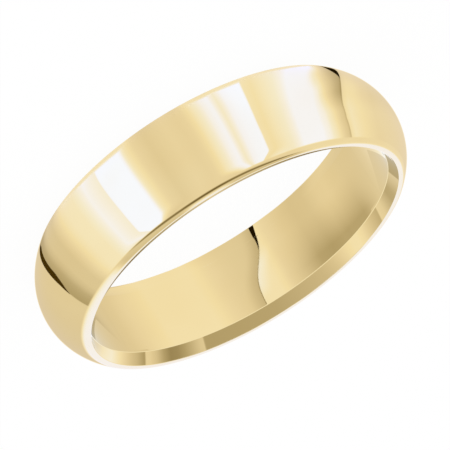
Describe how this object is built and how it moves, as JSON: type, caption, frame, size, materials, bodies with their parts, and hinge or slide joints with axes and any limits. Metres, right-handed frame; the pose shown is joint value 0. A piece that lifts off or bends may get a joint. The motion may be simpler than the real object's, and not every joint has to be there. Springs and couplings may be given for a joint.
{
  "type": "wedding band",
  "caption": "Plain half-round ring band: domed polished outside, narrow flat side faces and a straight finger bore with a soft inner bevel.",
  "frame": {"origin": "middle of the finger bore, half-way between the two side faces", "axes": "+Z along the bore, so the band lies flat on its -Z side face; it looks the same from every side round Z"},
  "size_m": [0.0244, 0.0244, 0.006],
  "materials": {
    "polished_gold": "mirror polished yellow gold"
  },
  "bodies": {
    "root": {"band": "polished_gold"}
  },
  "joints": []
}
